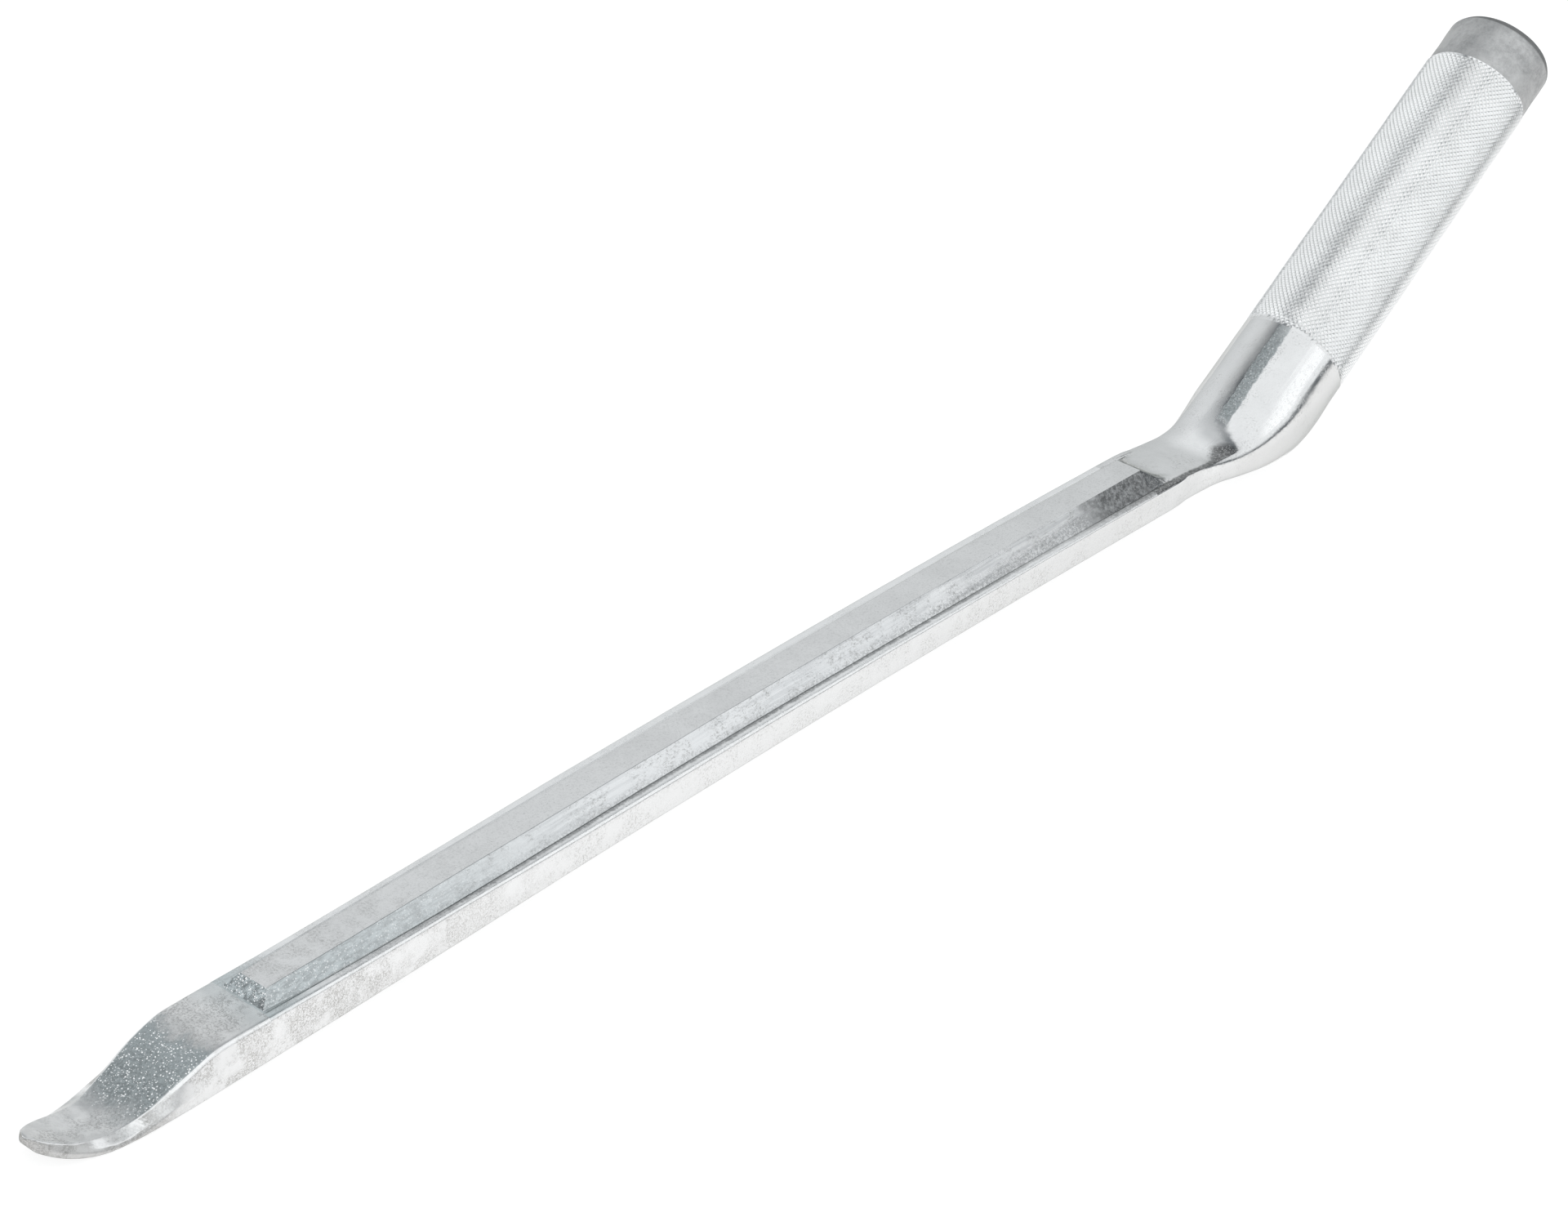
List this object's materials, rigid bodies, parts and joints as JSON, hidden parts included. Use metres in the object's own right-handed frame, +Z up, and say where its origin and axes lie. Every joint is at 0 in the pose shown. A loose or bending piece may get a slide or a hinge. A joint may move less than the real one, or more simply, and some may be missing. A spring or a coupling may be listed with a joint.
{
  "type": "bent tyre lever",
  "caption": "Forged steel tyre lever with a curled spoon tip, a ribbed straight shank and a round knurled handle bent upwards.",
  "frame": {"origin": "centre of the bounding box at the height of the surface the lever stands on", "axes": "+X from the spoon tip to the handle end, +Z up on the ribbed side, Y across; the bend lies in the XZ plane"},
  "size_m": [0.4006, 0.023, 0.0763],
  "materials": {
    "zinc_spoon": "bright zinc plate over a coarse shot-blasted forged surface",
    "zinc_bar": "bright zinc plate, smooth, with faint speckled stains",
    "zinc_rib": "bright zinc plate with fine lengthwise streaks",
    "zinc_neck": "bright zinc plate, glossy",
    "zinc_knurl": "bright zinc plate over a fine diamond knurl",
    "zinc_collar": "duller mottled zinc plate"
  },
  "bodies": {
    "root": {"spoon_tip": "zinc_spoon", "shank_bar": "zinc_bar", "top_rib": "zinc_rib", "bend_neck": "zinc_neck", "knurled_grip": "zinc_knurl", "end_collar": "zinc_collar"}
  },
  "joints": []
}
